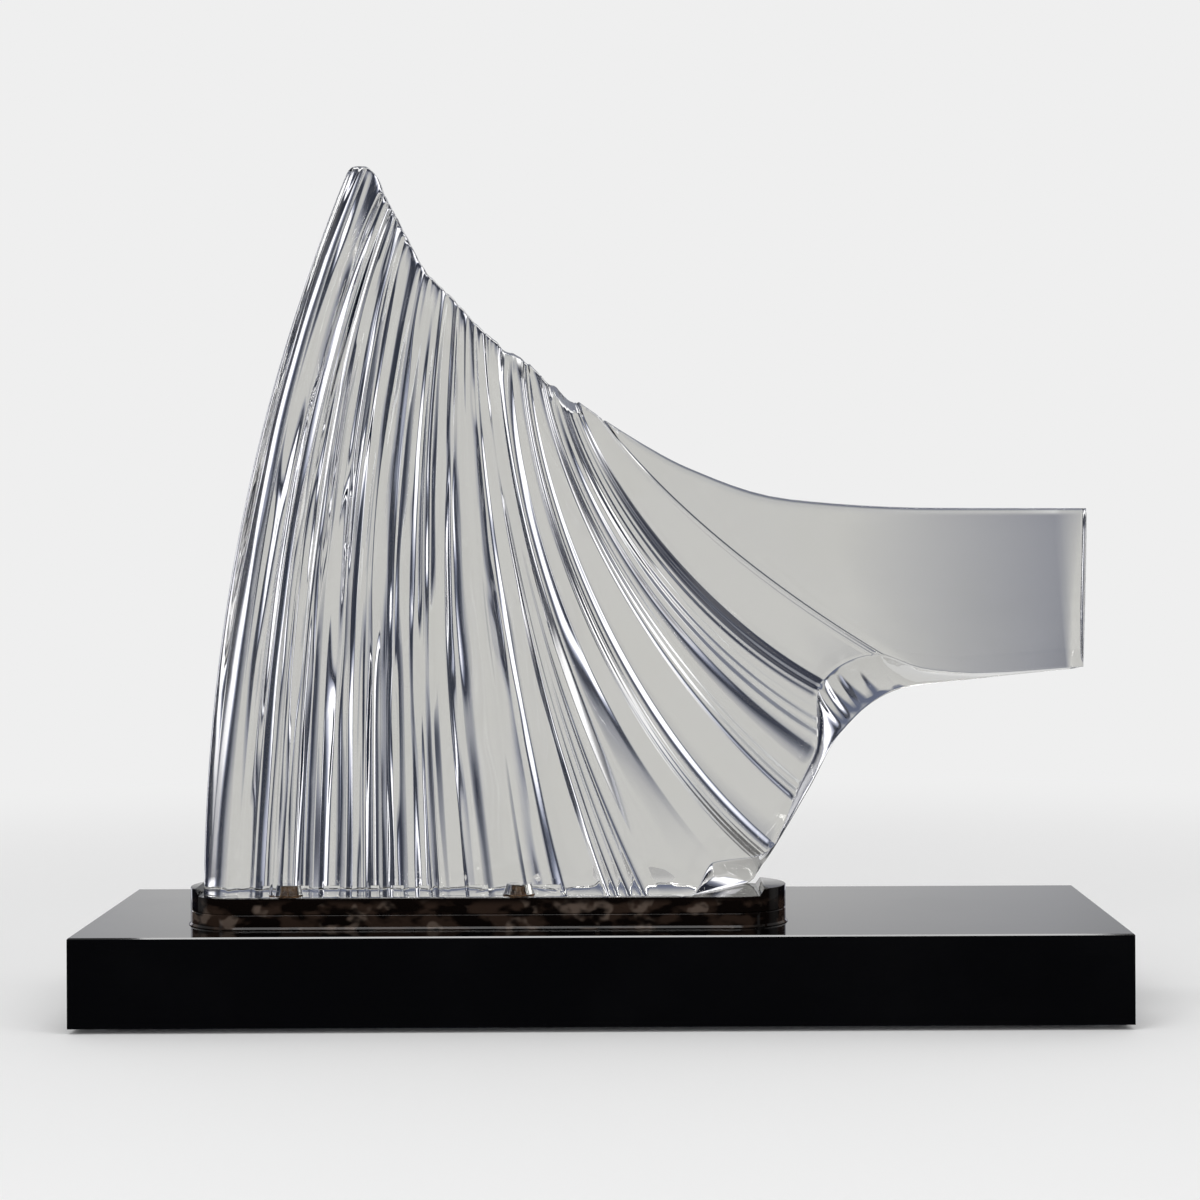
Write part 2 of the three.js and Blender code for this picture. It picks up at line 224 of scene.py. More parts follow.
def smokedWithReflectionsFinish(name, look):
    material, skin, effect = startFinish(name, reflectionMottleGroup, look)
    # the brown patches and pale flecks over the dark smoke tint are painted reflections
    reflectionTone = blendColour(effect["Light"], look["brown"], look["pale"])
    feed(skin["Base Color"], blendColour(effect["Patch"], look["dark"], reflectionTone))
    feed(skin["Roughness"], ramp(effect["Light"], 0.0, 1.0, look["roughness"], look["roughness"] + 0.05))
    roughen(skin, effect["Height"], look)
    return material


def woodFinish(name, look):
    material, skin, effect = startFinish(name, grainGroup, look)
    feed(skin["Base Color"], blendColour(effect["Tone"], look["dark"], look["light"]))
    feed(skin["Roughness"], ramp(effect["Tone"], 0.0, 1.0, look["roughness"], look["roughness"] - 0.15))
    roughen(skin, effect["Height"], look)
    return material


def metalFinish(name, look):
    material, skin, effect = startFinish(name, brushGroup, look)
    feed(skin["Base Color"], blendColour(effect["Tarnish"], look["bright"], look["tarnish"]))
    feed(skin["Roughness"], ramp(effect["Lines"], 0.2, 0.8, look["roughness"], look["roughness"] + 0.2))
    roughen(skin, effect["Lines"], look)
    feed(skin["Metallic"], 1.0)
    return material


castBasis = {"bumpDepth": 0.0004, "bend": 1.49, "clear": 0.0, "hazeFrom": 0.45, "hazeTo": 0.75}
castLooks = {
    "clearResin": {
        **castBasis, "colour": (0.667, 0.662, 0.637), "hazeColour": (0.657, 0.652, 0.617), "roughness": 0.0,
        "hazeRoughness": 0.012, "waveSize": 22.0, "markSize": 900.0, "bump": 0.012, "clear": 1.0,
        "gloss": 0.5},
    "blackAcrylic": {
        **castBasis, "colour": (0.0008, 0.0008, 0.001), "hazeColour": (0.0016, 0.0016, 0.0018),
        "roughness": 0.03, "hazeRoughness": 0.09, "waveSize": 12.0, "markSize": 800.0, "bump": 0.04,
        "gloss": 0.35},
    "polishedEdge": {
        **castBasis, "colour": (0.003, 0.003, 0.0035), "hazeColour": (0.005, 0.005, 0.0055),
        "roughness": 0.04, "hazeRoughness": 0.08, "waveSize": 12.0, "markSize": 800.0, "bump": 0.01,
        "gloss": 0.6},
    # painted highlight: pale dashes on the plate's bead and seam, broken into dark gaps by the haze pattern
    "wornEdge": {
        **castBasis, "colour": (0.62, 0.6, 0.58), "hazeColour": (0.004, 0.003, 0.003), "roughness": 0.3,
        "hazeRoughness": 0.1, "hazeFrom": 0.43, "hazeTo": 0.49, "waveSize": 130.0, "markSize": 900.0,
        "bump": 0.05, "gloss": 0.7},
    "rubber": {
        **castBasis, "colour": (0.012, 0.012, 0.012), "hazeColour": (0.03, 0.03, 0.03), "roughness": 0.65,
        "hazeRoughness": 0.85, "waveSize": 90.0, "markSize": 2500.0, "bump": 0.4, "bend": 1.5, "gloss": 0.3},
}
smokedLooks = {
    "smokedAcrylic": {
        # dark is the smoke tint; the brown and pale colours are painted reflections of the drapery inside the
        # plate
        "dark": (0.003, 0.0018, 0.0014), "brown": (0.026, 0.016, 0.0115), "pale": (0.1, 0.075, 0.06),
        "patchSize": 80.0, "roughness": 0.05, "bump": 0.15, "bumpDepth": 0.0006, "bend": 1.49, "gloss": 0.1},
}
woodLooks = {
    "blackBoard": {
        "dark": (0.006, 0.006, 0.006), "light": (0.02, 0.019, 0.018), "ringSize": 40.0, "fibreSize": 900.0,
        "roughness": 0.75, "bump": 0.5, "bumpDepth": 0.0004},
    "timber": {
        "dark": (0.34, 0.22, 0.12), "light": (0.52, 0.37, 0.22), "ringSize": 70.0, "fibreSize": 700.0,
        "roughness": 0.8, "bump": 0.5, "bumpDepth": 0.0004},
}
metalLooks = {
    "brass": {
        "bright": (0.26, 0.155, 0.09), "tarnish": (0.06, 0.036, 0.024), "lineSize": 1600.0,
        "roughness": 0.28, "bump": 0.3, "bumpDepth": 0.0001},
    "steel": {
        "bright": (0.56, 0.55, 0.53), "tarnish": (0.34, 0.33, 0.31), "lineSize": 1800.0,
        "roughness": 0.3, "bump": 0.3, "bumpDepth": 0.0001},
}
finishes = {}
for makeFinish, looks in ((castFinish, castLooks), (smokedWithReflectionsFinish, smokedLooks),
                          (woodFinish, woodLooks), (metalFinish, metalLooks)):
    finishes.update({name: makeFinish(name, look) for name, look in looks.items()})
print("finishes made:", ", ".join(finishes))


# helpers for objects, meshes and geometry trees

def addObject(name, data):
    made = bpy.data.objects.new(name, data)
    scene.collection.objects.link(made)
    return made


def fromBmesh(name, build):
    mesh = bpy.data.meshes.new(name)
    build.to_mesh(mesh)
    build.free()
    return addObject(name, mesh)


def extruded(name, corners, lift):
    build = bmesh.new()
    face = build.faces.new([build.verts.new(corner) for corner in corners])
    grown = bmesh.ops.extrude_face_region(build, geom=[face])
    moved = [v for v in grown["geom"] if isinstance(v, bmesh.types.BMVert)]
    bmesh.ops.translate(build, verts=moved, vec=lift)
    bmesh.ops.recalc_face_normals(build, faces=build.faces)
    return fromBmesh(name, build)


def skinRings(build, rings):
    count = max(len(ring) for ring in rings)
    for lower, upper in zip(rings, rings[1:]):
        for k in range(count):
            n = (k + 1) % count
            corners = [ring[j % len(ring)] for ring, j in ((lower, k), (lower, n), (upper, n), (upper, k))]
            build.faces.new(list(dict.fromkeys(corners)))         # three corners where a ring is one point


def uprightCones(name, places, radii, height, sides):
    build = bmesh.new()
    for place in places:
        bmesh.ops.create_cone(build, cap_ends=True, segments=sides, radius1=radii[0], radius2=radii[1],
                              depth=height, matrix=Matrix.Translation(place))
    return fromBmesh(name, build)


def guideMesh(name, fields):
    count = len(next(iter(fields.values())))
    mesh = bpy.data.meshes.new(name)
    mesh.from_pydata([(0.0, 0.0, 0.0)] * count, [], [])
    for field, values in fields.items():
        if isinstance(values[0], (int, float)):
            store = mesh.attributes.new(field, "FLOAT", "POINT")
            store.data.foreach_set("value", [float(v) for v in values])
        else:
            store = mesh.attributes.new(field, "FLOAT_VECTOR", "POINT")
            store.data.foreach_set("vector", [c for v in values for c in v])
    return addObject(name, mesh)


def geometryTree(name, inputs):
    tree = bpy.data.node_groups.new(name, "GeometryNodeTree")
    tree.interface.new_socket(name="Geometry", in_out="INPUT", socket_type="NodeSocketGeometry")
    inputs = {**inputs, "Material": "Material"}
    for label, kind in inputs.items():
        tree.interface.new_socket(name=label, in_out="INPUT", socket_type="NodeSocket" + kind)
    tree.interface.new_socket(name="Geometry", in_out="OUTPUT", socket_type="NodeSocketGeometry")
    given = tree.nodes.new("NodeGroupInput")
    part = {label: output(given, label) for label in inputs}
    for label in (label for label, kind in inputs.items() if kind == "Object"):
        part[label] = output(addNode(tree, "GeometryNodeObjectInfo", {"Object": part[label]}), "Geometry")
    return tree, part


def cutFrom(body, cutter):
    return output(addNode(body.tree, "GeometryNodeMeshBoolean", operation="DIFFERENCE", solver="MANIFOLD",
                          inputs={"Mesh 1": body, "Mesh 2": cutter}), "Mesh")


def endTree(tree, part, geometry):
    whole = output(addNode(tree, "GeometryNodeRealizeInstances", {"Geometry": geometry}))
    dressed = addNode(tree, "GeometryNodeSetMaterial", {"Geometry": whole, "Material": part["Material"]})
    feed(tree.nodes.new("NodeGroupOutput").inputs["Geometry"], output(dressed))
    return tree


def growMesh(name, tree, values, sizes=None):
    carrier = addObject(name + "Carrier", bpy.data.meshes.new(name + "Carrier"))
    modifier = carrier.modifiers.new("grow", "NODES")
    modifier.node_group = tree
    for socket in tree.interface.items_tree:
        value = values.get(socket.name, (sizes or {}).get(keyOf(socket.name)))
        if socket.in_out == "INPUT" and value is not None:
            modifier[socket.identifier] = value
    bpy.context.view_layer.update()
    evaluated = carrier.evaluated_get(bpy.context.evaluated_depsgraph_get())
    mesh = bpy.data.meshes.new_from_object(evaluated)
    mesh.name = name
    carrier.modifiers.remove(modifier)
    for helper in [carrier] + [v for v in values.values() if isinstance(v, bpy.types.Object)]:
        bpy.data.objects.remove(helper)
    return addObject(name, mesh)


def sharpen(piece, degrees):
    build = bmesh.new()
    build.from_mesh(piece.data)
    for face in build.faces:
        face.smooth = True
    for edge in build.edges:
        edge.smooth = len(edge.link_faces) == 2 and edge.calc_face_angle(0.0) < math.radians(degrees)
    build.to_mesh(piece.data)
    build.free()


# the drapery: folds hang from a ridge line through a shoulder and a skirt line to the hem

drapery = {
    "left": -0.236, "middle": -0.0435, "seat": 0.07324,         # where its foot stands, over a film of air
    "reach": 0.523, "height": 0.430, "ridgeHalf": 0.009, "footHalf": 0.029, "armHalf": 0.0215,
    "leastHalf": 0.0016, "spread": 0.6, "edgeRound": 1.1, "endRound": 0.0035, "endDraw": 0.05,
    "grooveSoftness": 0.05, "fluteCurve": 1.22, "hollowCurve": 1.7, "ridgeEase": 0.65,
    "backShift": 0.3, "backWidth": 0.3, "backShare": 0.4, "backFrom": 1.3,    # back grooves, from the front's
    "ripple": 0.05, "rippleRate": 18, "ridgeNotch": 1.2, "notchFade": 8.0,
    "waviness": 0.0003, "sway": 0.003, "seed": 3.0,
    "strokeRate": 2.6, "strokeSide": 5.0, "strokes": (0.32, 0.62, 0.15, 1.3), "hemCalm": 0.8,
    "calmLeast": 0.85, "calmRange": 0.3,
    "facets": ((16.35, 17.85, 0.0045), (19.25, 20.2, 0.006)), "facetFade": (0.1, 0.05), "facetRun": 0.045,
    "hemHollow": 0.012, "hemFlute": 0.24, "fluteDepth": 0.35,
    "hemSides": (-0.955, -0.8, -0.4, 0.0, 0.4, 0.8, 0.955), "hemRim": 0.98,
    # fold numbers: end of the soft flutes, start of the sweep, of its broad hollows, of the hem off the foot
    "softTo": 14.5, "sweepFrom": 15, "broadFrom": 16, "footFold": 17, "hemFluteFold": 20,
    "lastFlute": 21, "lastFold": 22,
    # fold numbers between which an effect comes in or fades out
    "notchIn": (1.4, 3.0), "looseIn": 1.5, "looseOut": (15, 16.6), "rippleIn": (17, 18),
    "hollowIn": (17.6, 18.4), "hemFluteIn": (19.9, 20.1), "hemFluteOut": (21.1, 21.3),
    "rows": 100, "bandColumns": 22, "edgeColumns": 12, "edgeSpan": 0.6, "weld": 0.000004, "sharpFrom": 70,
    "blockDepth": 0.055, "blockHeight": 0.007, "blockCut": (0.285, 0.324), "blockSteps": 48,
    "pocketRadii": (0.0096, 0.0074), "pocketHeight": 0.0067, "pocketBelow": 0.002, "pocketSides": 40,
    "pocketOffsets": (0.052, 0.187), "pocketForward": 0.017,
}

# each point is the fold number, the share of the reach and the share of the height
ridgeLine = [
    (0, 0.165, 0.992), (0.5, 0.1745, 1), (1, 0.186, 0.999), (1.6, 0.2005, 0.985), (2, 0.207, 0.964),
    (6, 0.2265, 0.92), (9, 0.254, 0.857), (12, 0.288, 0.814), (15, 0.3215, 0.77), (17, 0.35, 0.744),
    (18, 0.367, 0.7315), (19, 0.387, 0.708), (20, 0.42, 0.68), (21, 0.455, 0.65), (21.25, 0.5515, 0.582),
    (21.5, 0.665, 0.5385), (21.75, 0.823, 0.526), (22, 1, 0.5245),
]
shoulderLine = [
    (0, 0.053, 0.664), (2, 0.094, 0.642), (6, 0.151, 0.611), (12, 0.268, 0.539), (15, 0.332, 0.512),
    (17, 0.353, 0.512), (19, 0.41, 0.525), (20, 0.455, 0.532), (21, 0.529, 0.525), (21.5, 0.7, 0.472),
    (22, 0.998, 0.452),
]
skirtLine = [
    (0, 0.003, 0.33), (2, 0.0725, 0.317), (6, 0.1495, 0.301), (12, 0.282, 0.263), (15, 0.387, 0.249),
    (17, 0.438, 0.228), (18, 0.478, 0.214), (19, 0.529, 0.29), (20, 0.5685, 0.353), (21, 0.6535, 0.408),
    (21.5, 0.79, 0.385), (22, 0.995, 0.38),
]
footLine = [(0, 0, 0), (2, 0.057, 0), (6, 0.144, 0), (12, 0.302, 0), (15, 0.457, 0), (16.6, 0.552, 0)]
frontHemLine = footLine + [
    (17, 0.5755, 0.045), (18, 0.6335, 0.056), (19, 0.6725, 0.145), (19.5, 0.694, 0.212), (20, 0.695, 0.273),
    (21, 0.765, 0.326), (21.25, 0.816, 0.3055), (21.5, 0.872, 0.3), (22, 0.992, 0.308),
]
backHemLine = footLine + [
    (17, 0.615, 0), (18, 0.639, 0.0305), (19, 0.689, 0.1305), (20, 0.728, 0.214), (21, 0.796, 0.274),
    (21.5, 0.8885, 0.288), (22, 0.992, 0.3005),
]


def lineAt(points, fold, column):
    last = len(points) - 1
    i = max(k for k in range(last) if k == 0 or points[k][0] <= fold)

    def slope(k):
        return (points[k + 1][column] - points[k][column]) / (points[k + 1][0] - points[k][0])

    def tangent(k):
        if k == 0 or k == last:
            return slope(min(k, last - 1))
        before, after = slope(k - 1), slope(k)
        return 2 * before * after / (before + after) if before * after > 0 else 0.0

    span = points[i + 1][0] - points[i][0]
    rise = points[i + 1][column] - points[i][column]
    t = (fold - points[i][0]) / span
    startPull = tangent(i) * span - rise
    endPull = rise - tangent(i + 1) * span
    return points[i][column] + t * rise + t * (1 - t) * ((1 - t) * startPull + t * endPull)


def smoothStep(value, low, high):
    t = min(1.0, max(0.0, (value - low) / (high - low)))
    return t * t * (3 - 2 * t)


# each groove: its place in folds, its width to the left and right in folds, its depth in mm at the ridge, the
# middle and the hem, and the side whose flank is a hollow with a crisp rim
frontGrooves = [
    (0.5, 0.34, 0.6, 6.8, 6.6, 2.2, "both"), (1.78, 0.62, 0.46, 6.4, 5.6, 2.4, "both"),
    (2.8, 0.46, 0.4, 1.0, 2.4, 2.4, "right"), (3.75, 0.48, 0.46, 1.4, 3.6, 1.6, "both"),
    (4.85, 0.5, 0.48, 1.0, 3.2, 2.6, "both"),
    (6.3, 0.62, 0.6, 1.6, 4.0, 2.8, "both"), (7.3, 0.3, 0.4, 0.5, 1.6, 2.0, "right"),
    (8.3, 0.42, 0.4, 0.6, 2.4, 3.2, "both"), (9.3, 0.38, 0.52, 1.2, 3.2, 3.4, "both"),
    (10.5, 0.4, 0.36, 0.3, 2.0, 2.8, ""), (11.1, 0.3, 0.36, 1.0, 2.6, 1.4, "right"),
    (12.3, 0.36, 0.44, 1.0, 2.8, 3.2, "both"), (13.3, 0.3, 0.3, 0.3, 1.4, 2.2, ""),
    (13.95, 0.5, 0.28, 0.9, 3.2, 3.8, "both"),
    (15.0, 0.18, 0.12, 1.0, 2.2, 2.4, ""), (15.2, 0.1, 0.1, 0.0, 0.4, 1.6, ""),
    (15.42, 0.12, 0.12, 0.0, 0.0, 1.8, ""), (15.7, 0.14, 0.14, 0.0, 0.4, 2.0, ""),
    (16.5, 0.45, 0.65, 1.6, 8.4, 1.0, "both"),
    (17.74, 0.04, 0.05, 0.5, 0.8, 1.0, ""), (18.08, 0.32, 0.2, 1.2, 4.6, 4.8, "both"),
    (18.86, 0.05, 0.06, 0.7, 1.2, 1.8, ""), (19.2, 0.28, 0.2, 1.2, 4.6, 5.2, "both"),
    (19.88, 0.38, 0.37, 2.4, 9.0, 7.0, "both"),
    (20.92, 0.06, 0.06, 0.6, 0.9, 1.0, ""), (21.0, 0.1, 0.03, 1.0, 1.6, 1.8, ""),
]
backGrooves = [
    (place + drapery["backShift"], max(left, drapery["backWidth"]), max(right, drapery["backWidth"]),
     *[depth * drapery["backShare"] for depth in depths], "")
    for place, left, right, *depths, rim in frontGrooves
    if depths[1] > drapery["backFrom"] and place < drapery["softTo"]
]


def grooveAt(grooves, fold, station):
    deepest = 0.0
    for place, left, right, *depths, rim in grooves:
        side = "right" if fold > place else "left"
        away = abs(fold - place) / (right if fold > place else left)
        if away < 1:
            crease = (1 - min(1.0, math.hypot(away, drapery["grooveSoftness"]))) ** 2
            flank = crease if place > drapery["softTo"] else 0.5 + 0.5 * math.cos(math.pi * away)
            ripple = drapery["ripple"] * smoothStep(place, *drapery["rippleIn"])     # only by the arm
            curve = drapery["hollowCurve"] if place > drapery["sweepFrom"] else drapery["fluteCurve"]
            fine = 4 * away * (1 - away) * math.sin(drapery["rippleRate"] * away)
            hollow = 1 - away ** curve + ripple * fine
            eased = drapery["ridgeEase"] if station == 0 and place < drapery["sweepFrom"] else 1.0
            deepest = max(deepest, eased * depths[station] * (hollow if rim in (side, "both") else flank))
    return deepest / 1000


def facetAt(fold):
    outer, inner = drapery["facetFade"]
    return sum(
        depth * smoothStep(fold, start - outer, start + inner)
        * (1 - smoothStep(fold, end - inner, end + outer)) for start, end, depth in drapery["facets"])


def foldPlaces():
    smooth = (0.0, 0.15, 0.32, 0.55, 1.0)                                # shares of the width of a flank
    hollow = (0.0, 0.16, 0.32, 0.48, 0.64, 0.8, 0.94, 1.06)
    broad = [k * 0.055 for k in range(18)] + [1.0, 1.04]
    edge, band, edgeSpan = drapery["edgeColumns"], drapery["bandColumns"], drapery["edgeSpan"]
    places = [(k / edge) ** 2 * edgeSpan for k in range(edge)]           # close together round the left edge
    places += [k * 0.3 for k in range(3, 70)]
    places += [16.86 + k * 0.03 for k in range(7)]                       # where the hem leaves the foot block
    places += [drapery["hemFluteFold"] + k * drapery["hemFlute"] / 4 for k in range(22)]
    for place, left, right, *depths, rim in frontGrooves:
        for side, width, sign in (("left", left, -1), ("right", right, 1)):
            steps = broad if place > drapery["broadFrom"] and width > 0.25 else hollow
            places += [place + sign * width * s for s in (steps if rim in (side, "both") else smooth)]
    places += [drapery["lastFlute"] + k / band for k in range(1, band)]
    places += [drapery["lastFold"] - gap for gap in (0.0035, 0.0013, 0.0004, 0.0)]     # the arm's round end
    kept = []
    for place in sorted(places):
        least = 0.01 if edgeSpan < place < drapery["lastFold"] - 0.1 else 0.0002
        if place >= 0 and (not kept or place - kept[-1] > least):
            kept.append(place)
    return kept


def foldFields(fold):
    lines = {"ridge": ridgeLine, "shoulder": shoulderLine, "skirt": skirtLine,
             "hemFront": frontHemLine, "hemBack": backHemLine}
    reach, height = drapery["reach"], drapery["height"]
    fields = {name: (lineAt(points, fold, 1) * reach, 0.0, lineAt(points, fold, 2) * height)
              for name, points in lines.items()}
    for side, grooves in (("front", frontGrooves), ("back", backGrooves)):
        for station, label in enumerate(("Ridge", "Middle", "Hem")):
            fields[side + label] = grooveAt(grooves, fold, station)
    toArm = smoothStep(fold, drapery["footFold"], drapery["lastFlute"])
    fromEnd = min(1.0, (drapery["lastFold"] - fold) / drapery["endRound"])
    endRound = 1 - drapery["endDraw"] * (1 - math.sqrt(max(0.0, 1 - (1 - fromEnd) ** 2)))
    edgeRound = math.sqrt(1 - (1 - min(1.0, fold / drapery["edgeRound"])) ** 2)
    wave = math.sin(2 * math.pi * (fold - drapery["hemFluteFold"]) / drapery["hemFlute"])
    fluted = smoothStep(fold, *drapery["hemFluteIn"])
    return {
        **fields, "number": fold, "facet": facetAt(fold), "body": edgeRound * endRound,
        "hemHalf": drapery["footHalf"] + (drapery["armHalf"] - drapery["footHalf"]) * toArm,
        "notch": fields["frontRidge"] * smoothStep(fold, *drapery["notchIn"]),
        "free": smoothStep(fold, *drapery["hollowIn"]),              # the hem is hollow only off the block
        "flute": wave * fluted * (1 - smoothStep(fold, *drapery["hemFluteOut"])),
        "loose": min(1.0, fold / drapery["looseIn"]) * (1 - smoothStep(fold, *drapery["looseOut"])),
    }


def foldGuide():
    columns = [foldFields(fold) for fold in foldPlaces()]
    last = columns[-1]                        # one more column closes the end of the arm on the middle plane
    meet = [(f + b) / 2 for f, b in zip(last["hemFront"], last["hemBack"])]
    columns.append({**last, "body": 0.0, "hemFront": meet, "hemBack": meet})
    return guideMesh("foldGuide", {name: [column[name] for column in columns] for name in last}), len(columns)


def runGuide():
    start = [0.0, 0.0007, 0.002, 0.0045, 0.009]                  # close rings round off the ridge and the hem
    end = [0.9955, 0.9985, 1.0]
    steps = drapery["rows"] - len(start + end) + 1
    middle = [start[-1] + (end[0] - start[-1]) * k / steps for k in range(1, steps)]
    runs = start + middle + end
    eases = [0.0009, 0.00045, 0.00015] + [0.0] * (len(runs) - 5) + [0.0002, 0.0006]
    down = [(run, ease, -1.0) for run, ease in zip(runs, eases)]
    up = [(run, ease, 1.0) for run, ease, side in reversed(down)]
    hem = [(1 - drapery["hemHollow"] * (1 - t * t), 0.0, t) for t in drapery["hemSides"]]
    rings = down + hem + up + down[:1]
    return guideMesh("runGuide", dict(zip(("run", "ease", "side"), zip(*rings)))), len(rings)


def footBlock():
    half, steps = drapery["blockDepth"] / 2, drapery["blockSteps"]
    turns = [math.pi * k / steps for k in range(steps + 1)]
    rim = [(half - half * math.sin(a), half * math.cos(a)) for a in turns]
    rim += zip(drapery["blockCut"], (-half, half))
    return extruded("footBlock", [(x, y, 0.0) for x, y in rim], (0, 0, drapery["blockHeight"]))


def pocketPair():
    height, below = drapery["pocketHeight"], drapery["pocketBelow"]
    places = [(x, -drapery["pocketForward"], (height - below) / 2) for x in drapery["pocketOffsets"]]
    return uprightCones("pocketPair", places, drapery["pocketRadii"], height + below, drapery["pocketSides"])


def drapedFoldsTree():
    sizes = ("Ridge Half", "Least Half", "Spread", "Ridge Notch", "Notch Fade", "Facet Run", "Sway",
             "Waviness", "Flute Depth", "Stroke Rate", "Stroke Side", "Hem Calm", "Hem Rim", "Weld", "Seed")
    tree, part = geometryTree("drapedFolds", {
        "Fold Guide": "Object", "Run Guide": "Object", "Foot Block": "Object", "Pockets": "Object",
        "Columns": "Int", "Rings": "Int", **dict.fromkeys(sizes, "Float")})
    grid = addNode(tree, "GeometryNodeMeshGrid", {"Vertices X": part["Columns"], "Vertices Y": part["Rings"]})
    index = output(addNode(tree, "GeometryNodeInputIndex"))
    column = maths("FLOOR", (index + 0.5) / part["Rings"])
    ring = index - column * part["Rings"]

    def sample(guide, place, field, kind="FLOAT"):
        stored = addNode(tree, "GeometryNodeInputNamedAttribute", {"Name": field}, data_type=kind)
        return output(addNode(tree, "GeometryNodeSampleIndex", data_type=kind, domain="POINT", inputs={
            "Geometry": part[guide], "Value": output(stored, "Attribute"), "Index": place}), "Value")

    def joinXyz(x, y, z):
        return output(addNode(tree, "ShaderNodeCombineXYZ", {"X": x, "Y": y, "Z": z}))

    run, side, ease = (sample("Run Guide", ring, name) for name in ("run", "side", "ease"))
    ridge, shoulder, skirt, hemFront, hemBack = (
        sample("Fold Guide", column, name, "FLOAT_VECTOR")
        for name in ("ridge", "shoulder", "skirt", "hemFront", "hemBack"))
    fold = {name: sample("Fold Guide", column, name) for name in (
        "frontRidge", "frontMiddle", "frontHem", "backRidge", "backMiddle", "backHem", "hemHalf", "body",
        "number", "facet", "loose", "free", "notch", "flute")}
    under = maths("LESS_THAN", abs(side), part["Hem Rim"])               # rings that cross under the hem
    filled = 1.0 - fold["free"] - fold["flute"] * part["Flute Depth"]
    run = 1.0 - (1.0 - run) * (1.0 - under * filled)

    # a cubic curve down each fold, from the ridge to the front or the back of the hem
    behind = (side + 1.0) * 0.5
    ahead = 1.0 - behind
    rest = 1.0 - run
    hem = hemFront * ahead + hemBack * behind
    point = ridge * (rest * rest * rest) + shoulder * (rest * rest * run * 3.0)
    point = point + skirt * (run * run * rest * 3.0) + hem * (run * run * run)

    # groove depths pass from the ridge's through the middle's to the hem's, and wander a little down the run
    towardHem = maths("MAXIMUM", run * 2.0 - 1.0, 0.0)
    towardRidge = maths("MAXIMUM", 1.0 - run * 2.0, 0.0)
    between = 1.0 - (towardHem + towardRidge)

    def grooveOn(face):
        depth = fold[face + "Ridge"] * towardRidge + fold[face + "Middle"] * between
        return depth + fold[face + "Hem"] * towardHem

    groove = grooveOn("front") * ahead + grooveOn("back") * behind
    where = joinXyz(fold["number"], run * part["Stroke Rate"], part["Seed"] + side * part["Stroke Side"])
    calm = noise(where, 0.8, 1.0) * drapery["calmRange"] + drapery["calmLeast"]
    stroke = ramp(noise(where, 1.0, 1.0), *drapery["strokes"])           # strokes come and go
    settled = 1.0 - towardHem * part["Hem Calm"]                         # even flutes near the hem
    relief = groove * (calm + (stroke - calm) * fold["loose"] * settled)
    facetShare = maths("MAXIMUM", 1.0 - run / part["Facet Run"], 0.0)
    relief = relief + fold["facet"] * facetShare * ahead
    half = part["Ridge Half"] + (fold["hemHalf"] - part["Ridge Half"]) * run ** part["Spread"]
    broad = (noise(where, 1.1, 2.0) - 0.5) * (part["Waviness"] * 2.0)
    deep = (maths("MAXIMUM", half - relief, part["Least Half"]) + broad - ease) * fold["body"]
    notch = fold["notch"] * (rest ** part["Notch Fade"] * part["Ridge Notch"])
    sway = run * rest * (part["Sway"] * 8.0) * (noise(where, 0.55, 1.0) - 0.5) * fold["loose"]
    place = point + joinXyz(sway, side * deep, notch * -1.0)

    placed = output(addNode(tree, "GeometryNodeSetPosition", {
        "Geometry": output(grid, "Mesh"), "Position": place}))
    welded = output(addNode(tree, "GeometryNodeMergeByDistance", {
        "Geometry": placed, "Distance": part["Weld"]}))
    turned = addNode(tree, "GeometryNodeFlipFaces", {"Mesh": welded})
    joined = addNode(tree, "GeometryNodeMeshBoolean", operation="UNION", solver="MANIFOLD")
    for solid in (part["Foot Block"], output(turned)):
        feed(joined.inputs["Mesh 2"], solid)
    return endTree(tree, part, cutFrom(output(joined, "Mesh"), part["Pockets"]))


def makeDrapery():
    folds, columns = foldGuide()
    runs, rings = runGuide()
    piece = growMesh("draperyFolds", drapedFoldsTree(), {
        "Fold Guide": folds, "Run Guide": runs, "Foot Block": footBlock(), "Pockets": pocketPair(),
        "Columns": columns, "Rings": rings, "Material": finishes["clearResin"]}, drapery)
    piece.data.transform(Matrix.Translation((drapery["left"], drapery["middle"], drapery["seat"])))
    build = bmesh.new()
    build.from_mesh(piece.data)
    bmesh.ops.remove_doubles(build, verts=build.verts, dist=drapery["weld"] / 2)
    bmesh.ops.recalc_face_normals(build, faces=build.faces)
    loose = sum(1 for e in build.edges if len(e.link_faces) != 2)
    volume = build.calc_volume(signed=True)
    build.to_mesh(piece.data)
    build.free()
    sharpen(piece, drapery["sharpFrom"])
    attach(piece, "root")
    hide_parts("drapery")
    triangles = sum(len(p.vertices) - 2 for p in piece.data.polygons)
    print("drapery made:", columns, "columns,", rings, "rings,", triangles, "triangles, open edges", loose,
          "volume cc", round(volume * 1e6, 1))


makeDrapery()


# slabs with rounded edges, lofted through insets of one outline

def roundedTop(thick, edge, steps):
    turns = [math.pi / 2 * k / steps for k in range(steps, -1, -1)]
    return [(edge * (1 - math.sin(a)), thick - edge * (1 - math.cos(a))) for a in turns]


def loftSlab(name, outline, levels):
    build = bmesh.new()
    rings = [[build.verts.new((x, y, level)) for x, y in outline(inset)] for inset, level in levels]
    skinRings(build, rings)
    build.faces.new(list(reversed(rings[0])))
    build.faces.new(rings[-1])
    return fromBmesh(name, build)


# the smoked plate: a bar with round ends, rounded edges and a seat cut across its top for the foot

